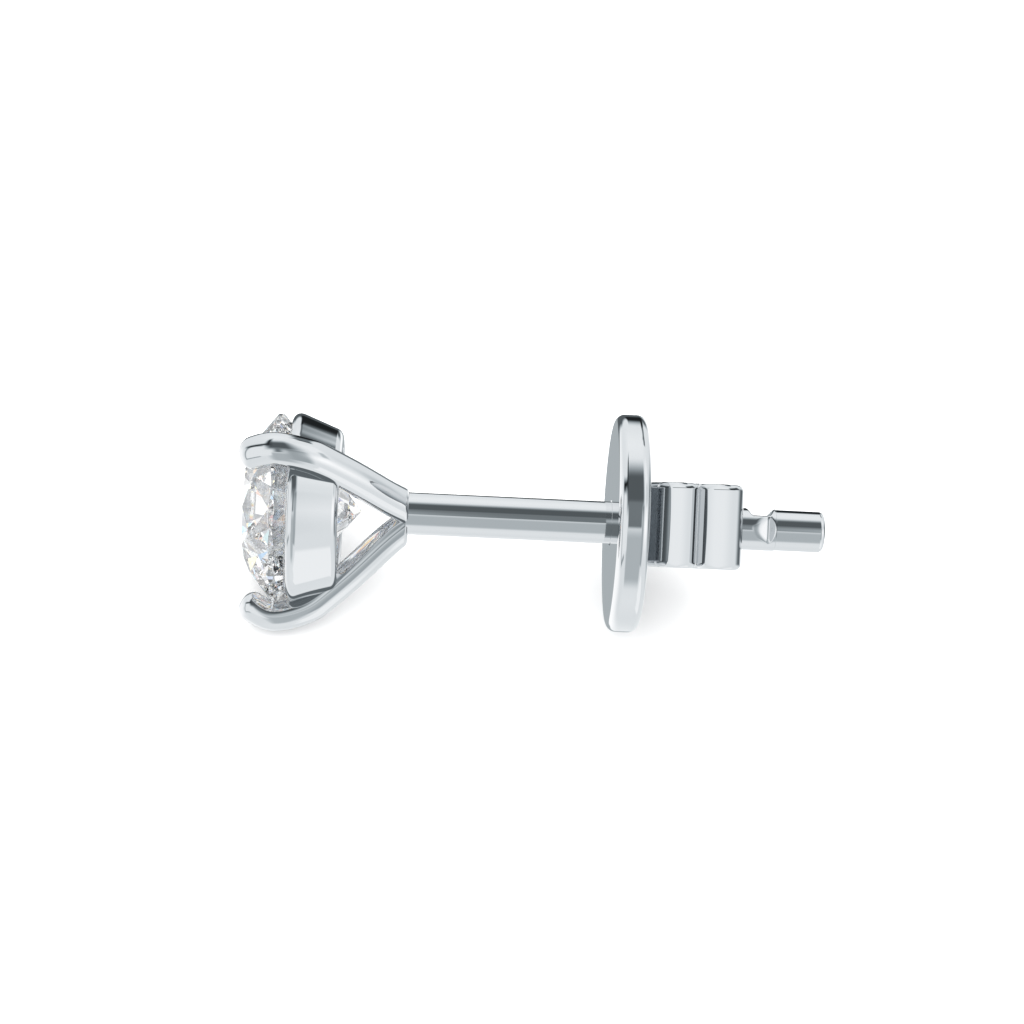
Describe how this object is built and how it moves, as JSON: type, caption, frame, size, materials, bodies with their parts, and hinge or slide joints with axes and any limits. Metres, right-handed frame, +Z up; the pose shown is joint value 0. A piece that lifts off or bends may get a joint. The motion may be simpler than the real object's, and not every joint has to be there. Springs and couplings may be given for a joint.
{
  "type": "diamond stud earring",
  "caption": "Round brilliant stud earring in an open pronged basket on a straight notched post, with a sliding disc-shaped friction back, lying on its side.",
  "frame": {"origin": "on the surface that the stud lies on, under the middle of its box", "axes": "+X along the post from the stone to the tip, level, +Z up from the surface; the post's own axis rises 2.5 degrees towards the tip, as the stud lies"},
  "size_m": [0.0128, 0.005, 0.0048],
  "materials": {
    "diamond": "polished facets",
    "setting_metal": "mirror-polished white gold",
    "back_metal": "mirror-polished white gold"
  },
  "bodies": {
    "stud": {"diamond": "diamond", "setting_and_post": "setting_metal"},
    "back": {"friction_back": "back_metal"}
  },
  "joints": [
    {"name": "back_slide", "type": "slide", "parent": "stud", "child": "back", "axis": [0.999, 0, 0.0444], "range_m": [-0.00434, 0.0048]}
  ]
}
